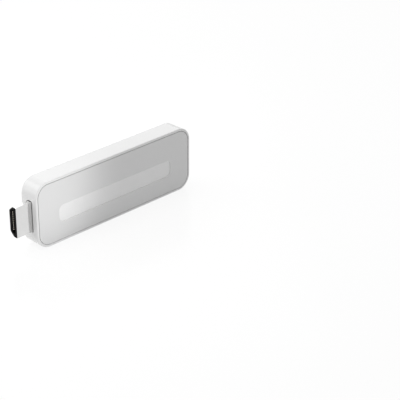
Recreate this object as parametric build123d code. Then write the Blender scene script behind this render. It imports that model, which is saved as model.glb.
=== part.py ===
"""Streaming stick: a white plastic stick with a video plug at one end and a power inlet at the other.

It stands on its long narrow side. X runs from the plug to the tail, Y from the front cover to the back,
and Z up. The origin is under the middle of the whole stick, plug included. Every length is in millimetres.
"""
from build123d import *
import os

# Housing
body_length = 88.0
body_height = 30.0
body_thickness = 10.0
corner_radius = 6.6
back_edge_radius = 1.2
front_edge_radius = 0.4
back_wall = 1.5
rim_width = 1.08
ledge_width = 0.52

# Front cover, set flush inside the rim
cover_thickness = 1.2
seam_gap = 0.15
cover_edge_radius = 0.12
band_start = 12.0
band_low = 9.15
band_height = 7.85
band_depth = 0.35
band_radius = 2.6
skirt_thickness = 0.8
skirt_depth = 1.9
skirt_gap = 0.1
skirt_end_gap = 2.0
hook_count = 3
hook_length = 5.0
hook_reach = 0.35
hook_height = 0.8
hook_land = 0.25
hook_gap = 0.1

# Bare label recess in the back
label_length = 56.0
label_height = 17.0
label_depth = 0.15
label_radius = 1.5

# Video plug, the standard full-size one
plug_width = 13.9
plug_thickness = 4.45
plug_side = 2.2
plug_chamfer = 2.1
plug_sheet = 0.3
plug_corner_radius = 0.4
plug_exposed = 8.1
plug_inside = 6.0
plug_set_back = 0.15
plug_lip_radius = 0.12
plug_slot_gap = 0.3
plug_slot_radius = 0.7
plug_slot_edge_radius = 0.15
plug_leg_length = 2.0
plug_leg_reach = 2.2
plug_leg_gap = 1.0

# Plastic body and contacts inside the plug
insulator_fit = 0.03
insulator_recess = 0.1
insulator_tail = 1.2
tongue_slot_thickness = 1.9
tongue_slot_width = 10.6
tongue_slot_depth = 7.0
contact_width = 0.35
contact_thickness = 0.2
contact_pitch = 1.0
contact_proud = 0.14
contact_set_back = 0.55
contact_tip_length = 0.12
contact_tip_rise = 0.12
contact_bend_length = 0.4
contact_foot = 1.5
contact_fit = 0.03
front_row_contacts = 10
back_row_contacts = 9

# Circuit board
board_thickness = 1.0
board_side_gap = 0.5
board_plug_gap = 0.4
board_tail_gap = 1.3
board_notch_gap = 0.25
chip_edge_radius = 0.08

# Posts and screws that hold the board
post_radius = 1.7
post_from_edge = 3.2
front_post_from_notch = 4.6
tail_post_from_board_end = 9.0
screw_radius = 0.7
screw_fit = 0.03
screw_bite = 2.2
screw_head_radius = 1.35
screw_head_height = 0.8
screw_head_round = 0.3
screw_hole_gap = 0.15
screw_slot_width = 0.3
screw_slot_depth = 0.35
screw_slot_length = 1.6

# Processor, memory and their shield, on the board's front
shield_from_notch = 9.0
shield_length = 30.0
shield_height = 21.0
shield_rise = 1.4
shield_sheet = 0.2
shield_radius = 0.8
shield_lid_gap = 0.04
shield_lid_skirt = 0.9
processor_size = 13.0
processor_rise = 1.1
processor_from_shield = 9.2
memory_length = 8.0
memory_height = 9.0
memory_rise = 0.9
memory_from_shield_end = 7.2
memory_spacing = 10.2
inner_pad_size = 12.0
outer_pad_length = 24.0
outer_pad_height = 15.0
outer_pad_thickness = 0.6
spreader_thickness = 0.8
spreader_margin = 0.5
spreader_radius = 1.5
press_rib_width = 1.0
press_rib_length = 16.0
press_rib_spacing = 12.0

# Small parts behind the plug
filter_count = 4
filter_length = 1.2
filter_height = 2.0
filter_rise = 0.6
filter_pitch = 3.0
filter_from_notch = 3.3

# Power parts, on the board's front, measured from the board's tail end
power_chip_size = 5.0
power_chip_rise = 0.9
power_chip_from_end = 21.5
inductor_count = 3
inductor_size = 3.0
inductor_rise = 1.6
inductor_pitch = 4.2
inductor_from_end = 16.0
capacitor_length = 1.6
capacitor_width = 0.8
capacitor_rise = 0.8
capacitor_pitch = 2.2
capacitor_columns = (25.6, 12.8)
capacitors_in_column = 5
resistor_length = 1.0
resistor_width = 0.5
resistor_rise = 0.35
resistor_pitch = 1.5
resistors_in_column = 7
resistor_from_end = 10.6
crystal_length = 2.5
crystal_height = 3.2
crystal_rise = 0.7
crystal_from_end = 21.5
crystal_drop = 6.6

# Antennas, standing on the board's front along its two long edges
antenna_length = 14.0
antenna_rise = 2.3
antenna_sheet = 0.3
antenna_flange = 1.6
antenna_from_end = 16.0
antenna_from_edge = 1.3
antenna_leg = 1.2
antenna_leg_pitch = 3.6
antenna_lift = 1.0

# Chips on the board's back
flash_length = 13.0
flash_height = 11.5
flash_rise = 1.0
flash_from_notch = 17.0
wireless_size = 12.0
wireless_base = 0.6
wireless_from_end = 19.0
can_inset = 0.4
can_rise = 1.2
can_sheet = 0.15
can_radius = 0.5

# Power inlet, the standard five-contact one
inlet_width = 7.5
inlet_rise = 2.5
inlet_length = 5.5
inlet_sheet = 0.25
inlet_chamfer = 0.8
inlet_side = 1.3
inlet_set_back = 0.2
inlet_opening_gap = 0.25
inlet_opening_radius = 0.6
inlet_leg_length = 0.6
inlet_leg_reach = 0.9
inlet_leg_from_back = 0.6
inlet_fit = 0.03
inlet_base_length = 1.6
inlet_tongue_width = 3.9
inlet_tongue_thickness = 0.6
inlet_tongue_set_back = 0.9
inlet_tongue_drop = 0.15
inlet_contact_count = 5
inlet_contact_pitch = 0.65
inlet_contact_width = 0.3
inlet_contact_thickness = 0.12
inlet_contact_set_back = 0.4
inlet_contact_foot = 0.8

# Reset button and its side-push switch
button_offset = 6.9
button_radius = 1.3
button_hole_gap = 0.12
button_flange = 0.4
button_flange_thickness = 0.6
button_flange_gap = 0.08
button_recess = 0.15
button_dome = 0.2
plunger_reach = 0.6
plunger_width = 1.4
plunger_thickness = 0.7
plunger_shoulder = 0.3
plunger_head = 0.4
plunger_fit = 0.06
switch_rise = 1.4
switch_width = 3.4
switch_lip = 0.3
switch_back = 0.3
switch_floor = 0.2
switch_sheet = 0.15
switch_sheet_gap = 0.02
dome_rise = 0.38
dome_sheet = 0.08
dome_span = 2.1
dome_strip = 0.7
dome_gap = 0.02

# Status light
light_offset = 6.6
light_radius = 0.65
light_fit = 0.05
light_flange = 0.4
light_flange_thickness = 0.5
light_recess = 0.05
led_length = 0.8
led_width = 1.6
led_rise = 1.1

# Shared by many pieces
past = 1.0
flush = 0.001
smallest_radius = 0.05

# Places worked out from the sizes above
side_wall = rim_width + ledge_width
plug_tip = -(body_length + plug_exposed) / 2
plug_face = plug_tip + plug_exposed
tail_face = plug_face + body_length
front_face = -body_thickness / 2
back_face = body_thickness / 2
mid_height = body_height / 2
mid_length = (plug_face + tail_face) / 2
inner_plug_face = plug_face + side_wall
inner_tail_face = tail_face - side_wall
inner_back_face = back_face - back_wall
cover_back = front_face + cover_thickness

plug_y = plug_set_back
plug_end = plug_face + plug_inside
insulator_end = plug_end + insulator_tail
board_front = plug_y - board_thickness / 2
board_back = plug_y + board_thickness / 2
board_start = inner_plug_face + board_plug_gap
board_end = inner_tail_face - board_tail_gap
board_low = side_wall + board_side_gap
board_high = body_height - side_wall - board_side_gap
board_notch = insulator_end + contact_fit

front_post_x = board_notch + front_post_from_notch
tail_post_x = board_end - tail_post_from_board_end
low_post_z = board_low + post_from_edge
high_post_z = board_high - post_from_edge
post_centres = [(front_post_x, high_post_z), (tail_post_x, low_post_z),
                (front_post_x, low_post_z), (tail_post_x, high_post_z)]
screw_centres = post_centres[:2]

shield_start = board_notch + shield_from_notch
shield_front = board_front - shield_rise
lid_front = shield_front - shield_sheet
lid_margin = shield_lid_gap + shield_sheet
spreader_back = lid_front - outer_pad_thickness
spreader_front = spreader_back - spreader_thickness

inlet_mouth = tail_face - inlet_set_back
inlet_back = inlet_mouth - inlet_length
inlet_y = board_front - inlet_rise / 2
tongue_front = inlet_y - inlet_tongue_thickness / 2 - inlet_tongue_drop
tongue_back = tongue_front + inlet_tongue_thickness

button_z = mid_height + button_offset
switch_mid = board_front - switch_rise / 2
button_inner = inner_tail_face - button_flange_gap - button_flange_thickness
switch_front = button_inner - plunger_reach
switch_top = board_front - switch_rise
switch_lip_x = switch_front - switch_lip
plunger_head_x = switch_lip_x - plunger_fit - plunger_head
leaf_seat_x = plunger_head_x - dome_gap - dome_rise - dome_sheet
light_z = mid_height - light_offset
light_y = board_front - led_rise / 2

BACKWARDS = (0, 1, 0)
TAILWARDS = (1, 0, 0)


def block(x0, x1, y0, y1, z0, z1):
    """A box between two opposite corners."""
    return Pos((x0 + x1) / 2, (y0 + y1) / 2, (z0 + z1) / 2) * Box(x1 - x0, y1 - y0, z1 - z0)


def along_x(x, y, z, outline, length):
    """An outline in Y and Z about (y, z), extruded towards the tail from x."""
    plane = Plane(origin=(x, y, z), x_dir=BACKWARDS, z_dir=TAILWARDS)
    return extrude(plane * outline, length, dir=TAILWARDS)


def along_y(x, y, z, outline, length):
    """An outline in X and Z about (x, z), extruded towards the back from y."""
    plane = Plane(origin=(x, y, z), x_dir=TAILWARDS, z_dir=BACKWARDS)
    return extrude(plane * outline, length, dir=BACKWARDS)


def slab(x0, x1, y0, y1, z0, z1, radius):
    """A box whose four edges along Y are rounded."""
    return along_y((x0 + x1) / 2, y0, (z0 + z1) / 2, RectangleRounded(x1 - x0, z1 - z0, radius), y1 - y0)


def chip(x, z, length, height, face, rise):
    """A flat part centred at (x, z) that stands on a board face, with its outer edges softened."""
    y0, y1 = sorted((face, face + rise))
    body = block(x - length / 2, x + length / 2, y0, y1, z - height / 2, z + height / 2)
    outer = body.faces().sort_by(Axis.Y)[-1 if rise > 0 else 0]
    return chamfer(outer.edges(), chip_edge_radius)


def rod(x0, x1, y, z, radius):
    """A round rod along X."""
    return along_x(x0, y, z, Circle(radius), x1 - x0)


def post(x, y0, y1, z, radius):
    """A round post along Y."""
    return along_y(x, y0, z, Circle(radius), y1 - y0)


def copies(count, pitch):
    """Places of evenly spaced copies about zero."""
    return [(i - (count - 1) / 2) * pitch for i in range(count)]


def plug_bar(x0, x1, grow, radius):
    """A bar with the plug's outline: straight front corners and chamfered back corners."""
    half_w, half_t = plug_width / 2, plug_thickness / 2
    points = [(-half_t, -half_w), (plug_side - half_t, -half_w), (half_t, plug_chamfer - half_w),
              (half_t, half_w - plug_chamfer), (plug_side - half_t, half_w), (-half_t, half_w)]
    outline = Polygon(*points, align=None)
    if grow:
        outline = offset(outline, grow, kind=Kind.INTERSECTION)
    outline = fillet(outline.vertices(), radius)
    return along_x(x0, plug_y, mid_height, outline, x1 - x0)


def inlet_bar(x0, x1, shrink):
    """A bar with the power inlet's outline, wide side away from the board."""
    half_w, half_t = inlet_width / 2 - shrink, inlet_rise / 2 - shrink
    slant = inlet_chamfer
    side = inlet_side - shrink
    points = [(-half_t, -half_w), (side - half_t, -half_w), (half_t, slant - half_w),
              (half_t, half_w - slant), (side - half_t, half_w), (-half_t, half_w)]
    return along_x(x0, inlet_y, mid_height, Polygon(*points, align=None), x1 - x0)


def hook_xs():
    """Middles of the snap hooks along each long side."""
    start = plug_face + corner_radius + skirt_end_gap + hook_length
    end = tail_face - corner_radius - skirt_end_gap - hook_length
    return [start + (end - start) * i / (hook_count - 1) for i in range(hook_count)]


def hook_bar(x, side, grow):
    """A snap hook on the cover's skirt, or with grow the pocket that it snaps into."""
    wall = mid_height - side_wall - skirt_gap
    y0 = cover_back + skirt_depth - hook_height
    points = [(y0 - grow, wall - skirt_thickness / 2), (y0 - grow, wall + hook_reach + grow),
              (y0 + hook_land + grow, wall + hook_reach + grow),
              (y0 + hook_height + grow, wall), (y0 + hook_height + grow, wall - skirt_thickness / 2)]
    outline = Polygon(*points, align=None)
    bar = along_x(x - hook_length / 2 - grow, 0, mid_height, outline, hook_length + 2 * grow)
    return bar if side > 0 else bar.mirror(Plane.XY.offset(mid_height))


def rear_shell():
    """Housing: a rounded box open to the front, with a rim, a ledge for the cover, posts and openings."""
    shell = slab(plug_face, tail_face, front_face, back_face, 0, body_height, corner_radius)
    shell = fillet(shell.faces().sort_by(Axis.Y)[-1].edges(), back_edge_radius)
    shell = fillet(shell.faces().sort_by(Axis.Y)[0].edges(), front_edge_radius)
    shell -= slab(plug_face + rim_width, tail_face - rim_width, front_face - past, cover_back,
                  rim_width, body_height - rim_width, corner_radius - rim_width)
    shell -= slab(inner_plug_face, inner_tail_face, cover_back - past, inner_back_face,
                  side_wall, body_height - side_wall, corner_radius - side_wall)
    shell -= slab(mid_length - label_length / 2, mid_length + label_length / 2,
                  back_face - label_depth, back_face + past,
                  mid_height - label_height / 2, mid_height + label_height / 2, label_radius)
    for x, z in post_centres:
        shell += post(x, board_back, inner_back_face + back_wall / 2, z, post_radius)
    for x, z in screw_centres:
        shell -= post(x, board_back - past, board_back + screw_bite + screw_fit, z,
                      screw_radius + screw_fit)
    for x in hook_xs():
        for side in (1, -1):
            shell -= hook_bar(x, side, hook_gap)
    shell = cut_plug_slot(shell)
    shell -= inlet_opening()
    shell -= rod(inner_tail_face - past, tail_face + past, switch_mid, button_z,
                 button_radius + button_hole_gap)
    shell -= rod(inner_tail_face - past, tail_face + past, light_y, light_z, light_radius + light_fit)
    return shell


def cut_plug_slot(shell):
    """Cuts the plug's slot through the end wall, with an even gap all round, and rounds its outer edge."""
    half_t = plug_thickness / 2 + plug_slot_gap
    half_w = plug_width / 2 + plug_slot_gap
    shell -= plug_bar(plug_face - past, plug_face + side_wall + past, plug_slot_gap, plug_slot_radius)
    lip = [e for e in shell.edges()
           if abs(e.center().X - plug_face) < flush
           and abs(e.center().Y - plug_y) < half_t + flush
           and abs(e.center().Z - mid_height) < half_w + flush]
    return fillet(lip, plug_slot_edge_radius)


def inlet_opening():
    """The hole in the tail wall for the power inlet."""
    outline = RectangleRounded(inlet_rise + 2 * inlet_opening_gap, inlet_width + 2 * inlet_opening_gap,
                               inlet_opening_radius)
    return along_x(inner_tail_face - past, inlet_y, mid_height, outline, side_wall + 2 * past)


def front_cover():
    """Flush plate with the shallow band, two skirts with snap hooks, and ribs that press the spreader."""
    inset = rim_width + seam_gap
    plate = slab(plug_face + inset, tail_face - inset, front_face, cover_back,
                 inset, body_height - inset, corner_radius - inset)
    plate = fillet(plate.faces().sort_by(Axis.Y)[0].edges(), cover_edge_radius)
    band = slab(plug_face + band_start, tail_face - band_start, front_face - past, front_face + band_depth,
                band_low, band_low + band_height, band_radius)
    plate -= band
    rim = [e for e in plate.edges()
           if abs(e.center().Y - front_face) < flush
           and band_low - flush < e.center().Z < band_low + band_height + flush
           and plug_face + band_start - flush < e.center().X < tail_face - band_start + flush]
    plate = fillet(rim, cover_edge_radius)
    x0 = plug_face + corner_radius + skirt_end_gap
    x1 = tail_face - corner_radius - skirt_end_gap
    high = body_height - side_wall - skirt_gap
    low = side_wall + skirt_gap
    plate += block(x0, x1, cover_back, cover_back + skirt_depth, high - skirt_thickness, high)
    plate += block(x0, x1, cover_back, cover_back + skirt_depth, low, low + skirt_thickness)
    for x in hook_xs():
        for side in (1, -1):
            plate += hook_bar(x, side, 0)
    mid_x = shield_start + shield_length / 2
    for dx in copies(2, press_rib_spacing):
        plate += block(mid_x + dx - press_rib_width / 2, mid_x + dx + press_rib_width / 2,
                       cover_back, spreader_front, mid_height - press_rib_length / 2,
                       mid_height + press_rib_length / 2)
    return plate


def plug_shell():
    """Sheet-metal sleeve of the plug, with two soldered legs that lie on the board's ears."""
    sleeve = plug_bar(plug_tip, plug_end, 0, plug_corner_radius)
    sleeve = fillet(sleeve.faces().sort_by(Axis.X)[0].edges(), plug_lip_radius)
    inner_radius = max(plug_corner_radius - plug_sheet, smallest_radius)
    sleeve -= plug_bar(plug_tip - past, plug_end + past, -plug_sheet, inner_radius)
    x0 = board_start + plug_leg_gap
    half_w = plug_width / 2
    for side in (1, -1):
        root = mid_height + side * (half_w - plug_sheet / 2)
        z0, z1 = sorted((root, mid_height + side * (half_w + plug_leg_reach)))
        sleeve += block(x0, x0 + plug_leg_length, board_front - plug_sheet, board_front, z0, z1)
    return sleeve


def contact_rows():
    """The side and the height of each contact in the plug."""
    front = [(-1, mid_height + dz) for dz in copies(front_row_contacts, contact_pitch)]
    back = [(1, mid_height + dz) for dz in copies(back_row_contacts, contact_pitch)]
    return front + back


def plug_insulator():
    """Black plastic body: it fills the sleeve, and has the tongue slot and a channel for each contact."""
    x0 = plug_tip + insulator_recess
    grow = -(plug_sheet + insulator_fit)
    body = plug_bar(x0, insulator_end, grow, max(plug_corner_radius + grow, smallest_radius))
    half_slot = tongue_slot_thickness / 2
    body -= block(x0 - past, x0 + tongue_slot_depth, plug_y - half_slot, plug_y + half_slot,
                  mid_height - tongue_slot_width / 2, mid_height + tongue_slot_width / 2)
    low = half_slot - contact_proud - contact_fit
    high = half_slot - contact_proud + contact_thickness + contact_fit
    half_w = contact_width / 2 + contact_fit
    for side, z in contact_rows():
        y0, y1 = sorted((plug_y + side * low, plug_y + side * high))
        body -= block(x0 + contact_set_back - contact_fit, insulator_end + past, y0, y1,
                      z - half_w, z + half_w)
    return body


def plug_contacts():
    """Nineteen bent contacts, from slanted tips in the tongue slot to soldered feet on both faces of the board."""
    x0 = plug_tip + insulator_recess + contact_set_back
    x_bend = insulator_end + contact_fit
    x_foot = x_bend + contact_bend_length
    x_end = x_foot + contact_foot
    low = tongue_slot_thickness / 2 - contact_proud
    high = low + contact_thickness
    foot = board_thickness / 2
    pieces = []
    for side, z in contact_rows():
        outline = [(x0, low + contact_tip_rise), (x0 + contact_tip_length, low), (x_bend, low), (x_foot, foot),
                   (x_end, foot), (x_end, foot + contact_thickness),
                   (x_foot + contact_thickness / 2, foot + contact_thickness),
                   (x_bend + contact_thickness / 2, high), (x0, high)]
        face = Polygon(*[(x, plug_y + side * h) for x, h in outline], align=None)
        pieces.append(extrude(Pos(0, 0, z - contact_width / 2) * face, contact_width, dir=(0, 0, 1)))
    return pieces


def circuit_board():
    """The board: rounded corners, a notch for the plug between two ears, and two screw holes."""
    radius = corner_radius - side_wall - board_side_gap
    board = slab(board_start, board_end, board_front, board_back, board_low, board_high, radius)
    half = plug_width / 2 + board_notch_gap
    board -= block(board_start - past, board_notch, board_front - past, board_back + past,
                   mid_height - half, mid_height + half)
    for x, z in screw_centres:
        board -= post(x, board_front - past, board_back + past, z, screw_radius + screw_hole_gap)
    return board


def board_screws():
    """Two pan-head screws through the board into the posts, each with a cross recess."""
    pieces = []
    head_front = board_front - screw_head_height
    for x, z in screw_centres:
        head = post(x, head_front, board_front, z, screw_head_radius)
        head = fillet(head.faces().sort_by(Axis.Y)[0].edges(), screw_head_round)
        screw = head + post(x, board_front, board_back + screw_bite, z, screw_radius)
        arm, half = screw_slot_length / 2, screw_slot_width / 2
        for long_x, long_z in ((arm, half), (half, arm)):
            screw -= block(x - long_x, x + long_x, head_front - past, head_front + screw_slot_depth,
                           z - long_z, z + long_z)
        pieces.append(screw)
    return pieces


def shield_box(grow, y0, y1):
    """A rounded box over the shield's outline, grown all round."""
    half = shield_height / 2 + grow
    return slab(shield_start - grow, shield_start + shield_length + grow, y0, y1,
                mid_height - half, mid_height + half, shield_radius + grow)


def shield_frame():
    """Soldered sheet-metal fence."""
    return (shield_box(0, shield_front, board_front)
            - shield_box(-shield_sheet, shield_front - past, board_front + past))


def shield_lid():
    """Snap-on lid: a plate that rests on the fence, with a short skirt outside it."""
    lid = shield_box(lid_margin, lid_front, shield_front + shield_lid_skirt)
    return lid - shield_box(shield_lid_gap, shield_front, shield_front + shield_lid_skirt + past)


def inner_thermal_pad():
    """Soft pad that fills the space between the processor and the lid."""
    x = shield_start + processor_from_shield
    half = inner_pad_size / 2
    return block(x - half, x + half, shield_front, board_front - processor_rise,
                 mid_height - half, mid_height + half)


def outer_thermal_pad():
    """Soft pad between the lid and the heat spreader."""
    x = shield_start + shield_length / 2
    return block(x - outer_pad_length / 2, x + outer_pad_length / 2, spreader_back, lid_front,
                 mid_height - outer_pad_height / 2, mid_height + outer_pad_height / 2)


def heat_spreader():
    """Aluminium plate pressed between the outer pad and the cover's ribs."""
    half = shield_height / 2 + spreader_margin
    return slab(shield_start - spreader_margin, shield_start + shield_length + spreader_margin,
                spreader_front, spreader_back, mid_height - half, mid_height + half, spreader_radius)


def processor():
    return chip(shield_start + processor_from_shield, mid_height, processor_size, processor_size,
                board_front, -processor_rise)


def memory_chips():
    x = shield_start + shield_length - memory_from_shield_end
    return [chip(x, mid_height + dz, memory_length, memory_height, board_front, -memory_rise)
            for dz in copies(2, memory_spacing)]


def flash_chip():
    return chip(board_notch + flash_from_notch, mid_height, flash_length, flash_height,
                board_back, flash_rise)


def power_chip():
    return chip(board_end - power_chip_from_end, mid_height, power_chip_size, power_chip_size,
                board_front, -power_chip_rise)


def power_inductors():
    return [chip(board_end - inductor_from_end, mid_height + dz, inductor_size, inductor_size,
                 board_front, -inductor_rise) for dz in copies(inductor_count, inductor_pitch)]


def capacitors():
    return [chip(board_end - column, mid_height + dz, capacitor_width, capacitor_length,
                 board_front, -capacitor_rise)
            for column in capacitor_columns for dz in copies(capacitors_in_column, capacitor_pitch)]


def resistors():
    return [chip(board_end - resistor_from_end, mid_height + dz, resistor_width, resistor_length,
                 board_front, -resistor_rise) for dz in copies(resistors_in_column, resistor_pitch)]


def plug_filters():
    return [chip(board_notch + filter_from_notch, mid_height + dz, filter_length, filter_height,
                 board_front, -filter_rise) for dz in copies(filter_count, filter_pitch)]


def crystal():
    return chip(board_end - crystal_from_end, mid_height - crystal_drop, crystal_length, crystal_height,
                board_front, -crystal_rise)


def wireless_module():
    return chip(board_end - wireless_from_end, mid_height, wireless_size, wireless_size,
                board_back, wireless_base)


def wireless_can():
    """Pressed metal can that closes over the module."""
    x = board_end - wireless_from_end
    half = wireless_size / 2 - can_inset
    y0 = board_back + wireless_base
    outer = slab(x - half, x + half, y0, y0 + can_rise, mid_height - half, mid_height + half, can_radius)
    outer = fillet(outer.faces().sort_by(Axis.Y)[-1].edges(), can_sheet)
    half -= can_sheet
    return outer - slab(x - half, x + half, y0 - past, y0 + can_rise - can_sheet,
                        mid_height - half, mid_height + half, can_radius - can_sheet)


def antenna(side):
    """Bent strip: a wall lifted off the board on two legs, with a flange turned inwards."""
    x1 = board_end - antenna_from_end
    x0 = x1 - antenna_length
    edge = board_high if side > 0 else board_low
    z_out = edge - side * antenna_from_edge
    z_in = z_out - side * antenna_sheet
    z_flange = z_out - side * antenna_flange
    top = board_front - antenna_rise
    za, zb = sorted((z_out, z_in))
    strip = block(x0, x1, top, board_front - antenna_lift, za, zb)
    for x in (x0, x0 + antenna_leg_pitch):
        strip += block(x, x + antenna_leg, board_front - antenna_lift, board_front, za, zb)
    za, zb = sorted((z_out, z_flange))
    return strip + block(x0, x1, top, top + antenna_sheet, za, zb)


def antennas():
    return [antenna(1), antenna(-1)]


def inlet_shell():
    """Metal sleeve of the power inlet with four soldered legs on the board."""
    sleeve = inlet_bar(inlet_back, inlet_mouth, 0)
    sleeve -= inlet_bar(inlet_back - past, inlet_mouth + past, inlet_sheet)
    for x in (inlet_back + inlet_leg_from_back, board_end - inlet_leg_length - inlet_leg_from_back):
        for side in (1, -1):
            foot = mid_height + side * (inlet_width / 2 - inlet_chamfer)
            out = mid_height + side * (inlet_width / 2 + inlet_leg_reach)
            z0, z1 = sorted((foot, out))
            sleeve += block(x, x + inlet_leg_length, board_front - inlet_sheet, board_front, z0, z1)
    return sleeve


def inlet_tongue():
    """Plastic base that fills the back of the sleeve, with the tongue that carries the contacts."""
    base = inlet_bar(inlet_back, inlet_back + inlet_base_length, inlet_sheet + inlet_fit)
    base += block(inlet_back + inlet_base_length / 2, inlet_mouth - inlet_tongue_set_back,
                  tongue_front, tongue_back,
                  mid_height - inlet_tongue_width / 2, mid_height + inlet_tongue_width / 2)
    for dz in copies(inlet_contact_count, inlet_contact_pitch):
        half = inlet_contact_width / 2 + inlet_fit
        base -= block(inlet_back - past, inlet_back + inlet_base_length,
                      tongue_back - inlet_fit, tongue_back + inlet_contact_thickness + inlet_fit,
                      mid_height + dz - half, mid_height + dz + half)
    return base


def inlet_contacts():
    """Five contacts along the tongue, through the base and down to feet on the board."""
    pieces = []
    x1 = inlet_mouth - inlet_tongue_set_back - inlet_contact_set_back
    sheet = inlet_contact_thickness
    for dz in copies(inlet_contact_count, inlet_contact_pitch):
        z0 = mid_height + dz - inlet_contact_width / 2
        z1 = z0 + inlet_contact_width
        strip = block(inlet_back - sheet, x1, tongue_back, tongue_back + sheet, z0, z1)
        strip += block(inlet_back - 2 * sheet, inlet_back - sheet, tongue_back, board_front, z0, z1)
        strip += block(inlet_back - inlet_contact_foot, inlet_back - sheet,
                       board_front - sheet, board_front, z0, z1)
        pieces.append(strip)
    return pieces


def reset_button():
    """Round cap in the tail wall with a flange behind it that keeps it in."""
    face = tail_face - button_recess
    cap = rod(button_inner + button_flange_thickness / 2, face, switch_mid, button_z, button_radius)
    cap = fillet(cap.faces().sort_by(Axis.X)[-1].edges(), button_dome)
    return cap + rod(button_inner, button_inner + button_flange_thickness, switch_mid, button_z,
                     button_radius + button_flange)


def switch_plunger():
    """Plunger: a stem that reaches the button and a wider head inside the switch."""
    half_w, half_t = plunger_width / 2, plunger_thickness / 2
    stem = block(plunger_head_x, button_inner, switch_mid - half_t, switch_mid + half_t,
                 button_z - half_w, button_z + half_w)
    half_w += plunger_shoulder
    return stem + block(plunger_head_x, plunger_head_x + plunger_head, switch_mid - half_t, switch_mid + half_t,
                        button_z - half_w, button_z + half_w)


def switch_body():
    """Plastic base with a pocket for the leaf and the plunger's head, open to the front lid and the stem."""
    half = switch_width / 2
    body = block(leaf_seat_x - switch_back, switch_front, switch_top, board_front, button_z - half, button_z + half)
    half_w = plunger_width / 2 + plunger_fit
    half_t = plunger_thickness / 2 + plunger_fit
    body -= block(switch_lip_x - past, switch_front + past, switch_mid - half_t, switch_mid + half_t,
                  button_z - half_w, button_z + half_w)
    half_w = max(plunger_width / 2 + plunger_shoulder, dome_span / 2) + plunger_fit
    return body - block(leaf_seat_x, switch_lip_x, switch_top - past, board_front - switch_floor,
                        button_z - half_w, button_z + half_w)


def switch_frame():
    """Folded metal lid over the switch, with two sides that reach the board."""
    x0, x1 = leaf_seat_x - switch_back, switch_front
    half = switch_width / 2 + switch_sheet_gap
    outer = half + switch_sheet
    lid = block(x0, x1, switch_top - switch_sheet, board_front, button_z - outer, button_z + outer)
    return lid - block(x0 - past, x1 + past, switch_top, board_front + past, button_z - half, button_z + half)


def switch_dome():
    """Thin sprung leaf, bowed towards the plunger."""
    half = dome_span / 2
    crown = leaf_seat_x + dome_rise
    arc = ThreePointArc((leaf_seat_x, -half), (crown, 0), (leaf_seat_x, half))
    outer_x = leaf_seat_x + dome_sheet
    outer = ThreePointArc((outer_x, -half), (crown + dome_sheet, 0), (outer_x, half))
    ends = [Line((leaf_seat_x, -half), (outer_x, -half)), Line((leaf_seat_x, half), (outer_x, half))]
    face = make_face([arc, outer, *ends])
    return along_y(0, switch_mid - dome_strip / 2, button_z, face, dome_strip)


def status_led():
    return chip(board_end - led_length / 2, light_z, led_length, led_width, board_front, -led_rise)


def light_pipe():
    """Clear rod from the light-emitting chip to the tail wall, with a flange bonded behind the wall."""
    pipe = rod(board_end, tail_face - light_recess, light_y, light_z, light_radius)
    return pipe + rod(inner_tail_face - light_flange_thickness, inner_tail_face, light_y, light_z,
                      light_radius + light_flange)


def solids_of(shape):
    """Every solid in a shape or a list of shapes."""
    shapes = shape if isinstance(shape, list) else [shape]
    return [solid for piece in shapes for solid in piece.solids()]


makers = [
    rear_shell, front_cover, plug_shell, plug_insulator, plug_contacts, circuit_board, board_screws,
    processor, memory_chips, flash_chip, power_chip, power_inductors, capacitors, resistors, plug_filters,
    crystal, wireless_module, wireless_can, antennas, shield_frame, shield_lid, inner_thermal_pad,
    outer_thermal_pad, heat_spreader, inlet_shell, inlet_tongue, inlet_contacts, reset_button, switch_plunger,
    switch_body, switch_frame, switch_dome, status_led, light_pipe,
]

os.makedirs("parts", exist_ok=True)
for maker in makers:
    solids = solids_of(maker())
    export_step(solids[0] if len(solids) == 1 else Compound(children=solids), f"parts/{maker.__name__}.step")
    print(maker.__name__, len(solids))
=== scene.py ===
# %% [markdown]
# # A white streaming stick
#
# The stick is a slim white box about as long as a finger. It stands on its long narrow side, with a metal
# video plug at its left end. A flush glossy plate closes its front, and a shallow matt band runs along that
# plate.
#
# The solid model comes first: it was drawn in a CAD program. Here it is a fixed frame. Each outer piece is
# modelled again by hand, with softer edges and more detail, and so is a leaf inside that bends. Every piece
# gets a finish made of shader nodes. Lengths are written in millimetres and turned into Blender's metres by
# MM.

# %% Load the solid model
import bpy
import bmesh
import math
from mathutils import Matrix, Vector


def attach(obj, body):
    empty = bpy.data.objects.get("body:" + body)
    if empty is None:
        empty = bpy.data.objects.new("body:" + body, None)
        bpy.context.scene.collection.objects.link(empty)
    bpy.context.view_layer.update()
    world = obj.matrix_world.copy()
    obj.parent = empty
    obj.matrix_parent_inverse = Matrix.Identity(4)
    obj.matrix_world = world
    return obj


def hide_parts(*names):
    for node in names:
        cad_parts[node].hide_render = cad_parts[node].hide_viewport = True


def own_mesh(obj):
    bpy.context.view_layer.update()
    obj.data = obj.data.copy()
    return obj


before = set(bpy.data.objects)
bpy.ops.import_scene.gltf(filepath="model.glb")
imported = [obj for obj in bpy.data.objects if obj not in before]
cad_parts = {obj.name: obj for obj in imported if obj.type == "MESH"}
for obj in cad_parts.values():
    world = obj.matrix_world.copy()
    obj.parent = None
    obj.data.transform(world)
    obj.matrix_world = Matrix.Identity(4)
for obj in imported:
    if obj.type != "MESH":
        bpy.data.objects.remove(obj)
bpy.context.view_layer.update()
MM = 0.001

# %% [markdown]
# ## The camera
#
# A camera can be placed by eye, or worked out from straight edges and known sizes. The plug has a standard
# size, and the box's edges give three directions, so both the place and the lens could be worked out: a
# long lens, 27 degrees above the floor, turned 45 degrees so that it sees the plug's end and the front
# alike.

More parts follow.
